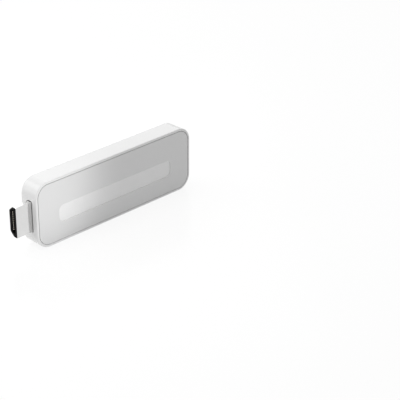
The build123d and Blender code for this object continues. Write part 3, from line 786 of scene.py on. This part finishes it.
# The faces of the mouth's rim that face outwards get the painted shade.
mouth_shade_faces = [f for f in plug_sleeve.data.polygons
             if f.center.x / MM < PLUG_TIP + MOUTH_SHADE_REACH and f.normal.x < -0.5]
for face in mouth_shade_faces:
    face.material_index = 1
print("cut edge faces", len(mouth_shade_faces))

# %% [markdown]
# ## The plug's plastic filling
#
# Black plastic fills the sleeve, with a slot in its mouth. A row of narrow channels in front of the slot,
# and one behind it, hold the contacts. One box, repeated with the Array modifier, cuts a whole row at once.

# %% Fill the plug
FILL_X = (-47.95, -32.75)
FILL_HALF = (1.895, 6.62)
FILL_WAIST, FILL_BACK_HALF = -0.155, 4.707
FILL_EDGE = 0.08
MOUTH_HALF, MOUTH_END = (0.95, 5.3), -40.95
MOUTH_CORNER = 0.2
PIN_PITCH, PIN_HALF, PIN_TIP = 1.0, 0.175, -47.4
PIN_OUT = (0.81, 1.01)
CHANNEL_GAP = 0.03
ROWS = ((-1, 10), (1, 9))


def repeat(piece, count, pitch):
    """Repeats a piece upwards with the Array modifier."""
    step = piece.modifiers.new("row", "ARRAY")
    step.count = count
    step.use_relative_offset = False
    step.use_constant_offset = True
    step.constant_offset_displace = (0, 0, pitch * MM)
    make_active(piece)
    bpy.ops.object.modifier_apply(modifier=step.name)


plug_filling = new_slanted_bar("plug_filling", *FILL_X, PLUG_Y, *FILL_HALF, FILL_WAIST, FILL_BACK_HALF)
soften_rims(plug_filling, FILL_X[:1], FILL_EDGE, 2)
mouth = new_box("tool", (FILL_X[0] - PAST, PLUG_Y - MOUTH_HALF[0], MID_HEIGHT - MOUTH_HALF[1]),
                (MOUTH_END, PLUG_Y + MOUTH_HALF[0], MID_HEIGHT + MOUTH_HALF[1]))
soften(mouth, lambda e: runs_along(e, X), MOUTH_CORNER, 3)
cut(plug_filling, mouth)
for side, count in ROWS:
    first = MID_HEIGHT - (count - 1) / 2 * PIN_PITCH
    y = sorted(PLUG_Y + side * out for out in (PIN_OUT[0] - CHANNEL_GAP, PIN_OUT[1] + CHANNEL_GAP))
    wide = PIN_HALF + CHANNEL_GAP
    channels = new_box("tool", (PIN_TIP - CHANNEL_GAP, y[0], first - wide),
                       (FILL_X[1] + PAST, y[1], first + wide))
    repeat(channels, count, PIN_PITCH)
    cut(plug_filling, channels)
print("filling", len(plug_filling.data.polygons), "faces")

# %% Mix the black plastic
black_plastic = new_finish("black plastic", (0.011, 0.011, 0.011), 0.5, ior=1.1)
vary_colour(black_plastic, noise(black_plastic, 1.2), (0.008, 0.008, 0.008), (0.013, 0.013, 0.013))
vary_gloss(black_plastic, noise(black_plastic, 0.5), 0.45, 0.6)
add_grain(black_plastic, noise(black_plastic, 0.08, 2.0), 0.001)
hand_over(plug_filling, "housing", "black_plastic", "plug_insulator", black_plastic)

# %% [markdown]
# ## Contacts
#
# Each contact is a thin strip, bent near its end so that it lands on the board. Its tip is slanted on the
# slot's side, so that a socket's tongue slides over it: the slants of one row are the light dots in the
# mouth. The first strip of a row is shaped and the Array modifier repeats it. The gold plate is thin and
# pale.

# %% Bend and repeat the plug's contacts
PIN_BEND = (-32.72, -32.32)
PIN_END = -30.82
PIN_DROP = 0.31
TIP_SLANT = (0.12, 0.12)

rows = []
for side, count in ROWS:
    first = MID_HEIGHT - (count - 1) / 2 * PIN_PITCH
    y = sorted(PLUG_Y + side * out for out in PIN_OUT)
    row = new_box("plug_pins", (PIN_TIP, y[0], first - PIN_HALF), (PIN_END, y[1], first + PIN_HALF))
    slice_at(row, X, PIN_TIP + TIP_SLANT[0])
    push(row, "EDGE", lambda e: lies_at(e, X, PIN_TIP) and lies_at(e, Y, PLUG_Y + side * PIN_OUT[0]),
         (0, side * TIP_SLANT[1], 0))
    for bend in PIN_BEND:
        slice_at(row, X, bend)
    push(row, "FACE", lambda f: middle(f).x > PIN_BEND[1] + NEAR, (0, -side * PIN_DROP, 0))
    repeat(row, count, PIN_PITCH)
    rows.append(row)
plug_pins = rows[0]
make_active(plug_pins)
rows[1].select_set(True)
bpy.ops.object.join()
print("pins", len(plug_pins.data.polygons), "faces")

# %% Mix the gold
gold = new_finish("contact gold", (0.95, 0.90, 0.78), 0.3, metallic=1.0)
vary_colour(gold, noise(gold, 0.8), (0.94, 0.88, 0.74), (0.96, 0.92, 0.82))
vary_gloss(gold, noise(gold, 0.2, 2.0, ALONG_X), 0.25, 0.35)
hand_over(plug_pins, "housing", "contact_gold", "plug_contacts", gold)

# %% [markdown]
# ## The power inlet
#
# The tail end has a small socket that is built like the plug: a metal sleeve with two slanted edges. Its
# mouth flares a little, to guide a cable's plug in. Inside, a thin tongue stands out from a block of
# plastic and carries five contacts on its back.

# %% Bend the inlet's sleeve
INLET_X = (42.35, 47.85)
INLET_HALF = (1.25, 3.75)
INLET_WAIST, INLET_BACK_HALF = 0.05, 2.95
INLET_SHEET = 0.25
INLET_CORNER = 0.3
FLARE_FROM, FLARE = 47.35, 0.12
LEGS_X = ((42.95, 43.55), (43.95, 44.55))
LEG_Z = (2.95, 4.65)

inlet_sleeve = new_slanted_bar("inlet_sleeve", *INLET_X, INLET_Y, *INLET_HALF, INLET_WAIST, INLET_BACK_HALF)
soften(inlet_sleeve, lambda e: runs_along(e, X), INLET_CORNER, 4)
slice_at(inlet_sleeve, X, FLARE_FROM)
stretch(inlet_sleeve, lambda f: lies_at(f, X, INLET_X[1]), (INLET_X[1], INLET_Y, MID_HEIGHT),
        (1, 1 + FLARE / INLET_HALF[0], 1 + FLARE / INLET_HALF[1]))
give_wall(inlet_sleeve, INLET_SHEET)
for x in LEGS_X:
    for side in (1, -1):
        z = sorted(MID_HEIGHT + side * out for out in LEG_Z)
        leg = new_box("tool", (x[0], BOARD_FRONT - INLET_SHEET, z[0]), (x[1], BOARD_FRONT, z[1]))
        join_on(inlet_sleeve, leg)
hand_over(inlet_sleeve, "housing", "plug_metal", "inlet_shell", plating)

# %% Shape the tongue and its contacts
BLOCK_END = 43.95
TONGUE_END = 46.95
TONGUE_Y = (-2.05, -1.45)
TONGUE_HALF = 1.95
TONGUE_EDGE = 0.12
INLET_PINS = 5
INLET_PIN_X = (42.23, 46.55)
INLET_PIN_HALF, INLET_PIN_SHEET, INLET_PIN_PITCH = 0.15, 0.12, 0.65
INLET_PIN_FOOT = 41.55
BLOCK_GAP, BLOCK_SLANT_GAP = INLET_SHEET + CHANNEL_GAP, 0.15
# The tongue starts this far inside its block.
TUCK = 0.8

inlet_block = new_slanted_bar("inlet_block", INLET_X[0], BLOCK_END, INLET_Y, INLET_HALF[0] - BLOCK_GAP,
                              INLET_HALF[1] - BLOCK_GAP, INLET_WAIST - BLOCK_SLANT_GAP,
                              INLET_BACK_HALF - BLOCK_SLANT_GAP)
tongue = new_box("tool", (BLOCK_END - TUCK, TONGUE_Y[0], MID_HEIGHT - TONGUE_HALF),
                 (TONGUE_END, TONGUE_Y[1], MID_HEIGHT + TONGUE_HALF))
soften_rims(tongue, (TONGUE_END,), TONGUE_EDGE, 3)
join_on(inlet_block, tongue)
first = MID_HEIGHT - (INLET_PINS - 1) / 2 * INLET_PIN_PITCH
wide = INLET_PIN_HALF + CHANNEL_GAP
channels = new_box("tool", (INLET_X[0] - PAST, TONGUE_Y[1] - CHANNEL_GAP, first - wide),
                   (BLOCK_END, TONGUE_Y[1] + INLET_PIN_SHEET + CHANNEL_GAP, first + wide))
repeat(channels, INLET_PINS, INLET_PIN_PITCH)
cut(inlet_block, channels)
hand_over(inlet_block, "housing", "black_plastic", "inlet_tongue", black_plastic)

pin_start, pin_back = INLET_PIN_X[0] - INLET_PIN_SHEET, TONGUE_Y[1] + INLET_PIN_SHEET
foot_front = BOARD_FRONT - INLET_PIN_SHEET
inlet_pins = new_box("inlet_pins", (pin_start, TONGUE_Y[1], first - INLET_PIN_HALF),
                     (INLET_PIN_X[1], pin_back, first + INLET_PIN_HALF))
slice_at(inlet_pins, X, INLET_PIN_X[0])
inset_and_push(inlet_pins, lambda f: lies_at(f, Y, pin_back) and middle(f).x < INLET_PIN_X[0],
               0, (0, foot_front - pin_back, 0))
inset_and_push(inlet_pins, lambda f: lies_at(f, Y, foot_front), 0, (0, INLET_PIN_SHEET, 0))
inset_and_push(inlet_pins, lambda f: lies_at(f, X, pin_start) and middle(f).y > foot_front,
               0, (INLET_PIN_FOOT - pin_start, 0, 0))
repeat(inlet_pins, INLET_PINS, INLET_PIN_PITCH)
hand_over(inlet_pins, "housing", "contact_gold", "inlet_contacts", gold)

# %% [markdown]
# ## The reset button
#
# A small white cap fills a hole in the tail wall. It is a cylinder with a wider flange that keeps it
# inside, and a shallow dish in its face where a fingertip or a pen finds it. It rides on its own body,
# because it is pressed.

# %% Turn the button
FLANGE_X = (45.77, 46.37)
FLANGE_RADIUS = 1.7
FLANGE_EDGE = 0.06
CAP_RADIUS, CAP_END, CAP_EDGE = 1.3, 47.9, 0.15
DISH_RIM, DISH_DEPTH = 0.45, 0.1

button_place = (BUTTON_Y, BUTTON_Z)
button_cap = new_rod("button_cap", X, (FLANGE_X[0] + FLANGE_X[1]) / 2, CAP_END, button_place, CAP_RADIUS)
inset_and_push(button_cap, lambda f: lies_at(f, X, CAP_END), DISH_RIM, (-DISH_DEPTH, 0, 0))
soften_rims(button_cap, (CAP_END, CAP_END - DISH_DEPTH), CAP_EDGE, 3)
flange = new_rod("tool", X, *FLANGE_X, button_place, FLANGE_RADIUS)
soften_rims(flange, FLANGE_X, FLANGE_EDGE, 2)
join_on(button_cap, flange)
hand_over(button_cap, "reset_key", "shell_white", "reset_button", white_plastic)

# %% [markdown]
# ## The switch's leaf
#
# Inside the switch, a thin bowed leaf pushes the button back out, and a press flattens it. It starts as a
# straight strip with rings of edges across it, and each ring is then pushed out to the height of one arc.

# %% Bow the leaf
LEAF_SEAT, LEAF_RISE, LEAF_SHEET = 43.93, 0.38, 0.08
LEAF_HALF_SPAN, LEAF_HALF_WIDTH = 1.05, 0.35
LEAF_STEPS = 6

leaf = new_box("spring_leaf", (LEAF_SEAT, BUTTON_Y - LEAF_HALF_WIDTH, BUTTON_Z - LEAF_HALF_SPAN),
               (LEAF_SEAT + LEAF_SHEET, BUTTON_Y + LEAF_HALF_WIDTH, BUTTON_Z + LEAF_HALF_SPAN))
arc_radius = (LEAF_RISE ** 2 + LEAF_HALF_SPAN ** 2) / (2 * LEAF_RISE)
levels = [LEAF_HALF_SPAN * step / LEAF_STEPS for step in range(1 - LEAF_STEPS, LEAF_STEPS)]
for level in levels:
    slice_at(leaf, Z, BUTTON_Z + level)
for level in levels:
    rise = math.sqrt(arc_radius ** 2 - level ** 2) - (arc_radius - LEAF_RISE)
    push(leaf, "EDGE", lambda e: lies_at(e, Z, BUTTON_Z + level), (rise, 0, 0))

# %% Mix the spring steel and give the leaf its own mesh
spring_steel = new_finish("spring steel", (0.63, 0.63, 0.62), 0.3, metallic=1.0)
vary_colour(spring_steel, noise(spring_steel, 0.6), (0.58, 0.58, 0.57), (0.68, 0.68, 0.67))
vary_gloss(spring_steel, noise(spring_steel, 0.3), 0.25, 0.4)
add_grain(spring_steel, noise(spring_steel, 0.08, 2.0), 0.0005)
hand_over(leaf, "housing", "can_metal", "switch_dome", spring_steel)
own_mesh(leaf)

# %% [markdown]
# ## The light rod
#
# A clear rod carries the status light to a small hole in the tail wall. Its outer end is slightly domed,
# which spreads the light. Clear plastic needs transmission, and a little roughness, because moulded rods
# are never as clear as glass.

# %% Turn the rod and make it clear
ROD_X = (45.15, 48.0)
ROD_RADIUS, ROD_EDGE = 0.65, 0.3
COLLAR_X = (45.95, 46.45)
COLLAR_RADIUS, COLLAR_EDGE = 1.05, 0.05

light_rod = new_rod("light_rod", X, *ROD_X, (LIGHT_Y, LIGHT_Z), ROD_RADIUS)
soften_rims(light_rod, ROD_X[1:], ROD_EDGE, 5)
collar = new_rod("tool", X, *COLLAR_X, (LIGHT_Y, LIGHT_Z), COLLAR_RADIUS)
soften_rims(collar, COLLAR_X, COLLAR_EDGE, 2)
join_on(light_rod, collar)

clear_plastic = new_finish("clear plastic", (0.93, 0.94, 0.94), 0.15, ior=1.49)
clear_plastic.node_tree.nodes["Principled BSDF"].inputs["Transmission Weight"].default_value = 0.9
vary_gloss(clear_plastic, noise(clear_plastic, 0.4), 0.1, 0.22)
add_grain(clear_plastic, noise(clear_plastic, 0.3, 1.0), 0.001)
hand_over(light_rod, "housing", "clear_plastic", "light_pipe", clear_plastic)

# %% [markdown]
# ## Finishes inside
#
# The other parts inside are kept as the solid model has them, and each gets the finish of its material.
# They are seen only when the stick is opened, but a library part should stand a look inside.

# %% Set a finish on a part of the solid model
def dress(node, finish):
    """Gives a part of the solid model one finish."""
    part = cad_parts[node]
    part.data.materials.clear()
    part.data.materials.append(finish)


def simple_finish(name, dark, light, smooth, rough, spot, grain, height, metallic=0.0, stretched=(1, 1, 1)):
    """A finish whose colour and gloss wander in spots of one size, with a fine grain."""
    finish = new_finish(name, light, rough, metallic)
    vary_colour(finish, noise(finish, spot), dark, light)
    vary_gloss(finish, noise(finish, spot / 2, 3.0, stretched), smooth, rough)
    add_grain(finish, noise(finish, grain, 2.0, stretched), height)
    return finish


# Each row gives its parts, a dark and a light tone, the least and the greatest roughness, and then, in
# millimetres, the size of the spots, the size of the grain and the grain's height.
INNER = {
    "chip resin": (("processor", "memory_chips", "flash_chip", "power_chip", "plug_filters"),
                   (0.025, 0.025, 0.027), (0.04, 0.04, 0.042), 0.5, 0.7, 1.5, 0.06, 0.002),
    "ferrite": (("power_inductors",), (0.07, 0.07, 0.075), (0.12, 0.12, 0.125), 0.6, 0.8, 0.8, 0.1, 0.004),
    "brown ceramic": (("capacitors",), (0.34, 0.24, 0.15), (0.45, 0.33, 0.21), 0.4, 0.6, 0.4, 0.05, 0.001),
    "dark ceramic": (("resistors",), (0.03, 0.03, 0.03), (0.06, 0.06, 0.06), 0.3, 0.5, 0.4, 0.05, 0.001),
    "soft grey pad": (("inner_thermal_pad", "outer_thermal_pad"), (0.30, 0.33, 0.37), (0.38, 0.41, 0.45),
                      0.7, 0.9, 2.0, 0.15, 0.01),
    "dark switch plastic": (("switch_body", "switch_plunger"), (0.03, 0.03, 0.03), (0.06, 0.06, 0.06),
                            0.35, 0.5, 0.6, 0.08, 0.001),
    "lamp chip": (("status_led",), (0.78, 0.78, 0.74), (0.86, 0.86, 0.82), 0.2, 0.35, 0.4, 0.05, 0.0005),
}
INNER_METAL = {
    "tinned steel": (("shield_frame", "shield_lid", "wireless_can", "crystal", "switch_frame"),
                     (0.58, 0.58, 0.57), (0.68, 0.68, 0.67), 0.25, 0.4, 4.0, 0.12, 0.001),
    "bare aluminium": (("heat_spreader",), (0.74, 0.75, 0.76), (0.83, 0.84, 0.85),
                       0.3, 0.45, 6.0, 0.1, 0.002),
    "antenna strip": (("antennas",), (0.66, 0.66, 0.66), (0.76, 0.76, 0.76), 0.25, 0.35, 2.0, 0.1, 0.001),
    "screw steel": (("board_screws",), (0.34, 0.34, 0.35), (0.45, 0.45, 0.46), 0.25, 0.4, 0.6, 0.08, 0.001),
}
dressed = 0
for table, metallic in ((INNER, 0.0), (INNER_METAL, 1.0)):
    for name, (parts, *numbers) in table.items():
        stretched = ALONG_X if metallic else (1, 1, 1)
        finish = simple_finish(name, *numbers, metallic=metallic, stretched=stretched)
        for part in parts:
            dress(part, finish)
            dressed += 1
print("inner parts dressed", dressed)

# %% [markdown]
# ## The circuit board
#
# A board is woven glass under a green lacquer. Copper tracks lie under the lacquer and show as a lighter
# green. Real tracks would be drawn one by one. The thin straight lines between the cells of a Voronoi
# pattern fork and turn much as tracks do, and a fine noise gives the lacquer its skin.

# %% Mix the lacquer
LACQUER, TRACKS = (0.012, 0.09, 0.045), (0.03, 0.16, 0.075)
TRACK_SIZE = 1.6
TRACK_WIDTH = 0.12
# The mix node numbers its sockets for the first colour, the second colour and their mix so.
FIRST, SECOND, MIXED = 6, 7, 2

lacquer = new_finish("green lacquer", LACQUER, 0.3)
nodes, links = lacquer.node_tree.nodes, lacquer.node_tree.links
place = nodes.new("ShaderNodeTexCoord")
cells = nodes.new("ShaderNodeTexVoronoi")
cells.feature = "DISTANCE_TO_EDGE"
cells.inputs["Scale"].default_value = 1 / (TRACK_SIZE * MM)
cells.inputs["Randomness"].default_value = 0.75
edge = nodes.new("ShaderNodeMath")
edge.operation = "LESS_THAN"
edge.inputs[1].default_value = TRACK_WIDTH
paint = nodes.new("ShaderNodeMix")
paint.data_type = "RGBA"
paint.inputs[FIRST].default_value = (*LACQUER, 1)
paint.inputs[SECOND].default_value = (*TRACKS, 1)
links.new(place.outputs["Object"], cells.inputs["Vector"])
links.new(cells.outputs["Distance"], edge.inputs[0])
links.new(edge.outputs[0], paint.inputs[0])
links.new(paint.outputs[MIXED], nodes["Principled BSDF"].inputs["Base Color"])
vary_gloss(lacquer, noise(lacquer, 0.8), 0.22, 0.38)
add_grain(lacquer, noise(lacquer, 0.25, 2.0), 0.002)
dress("circuit_board", lacquer)
dress("wireless_module", lacquer)
print("board painted")
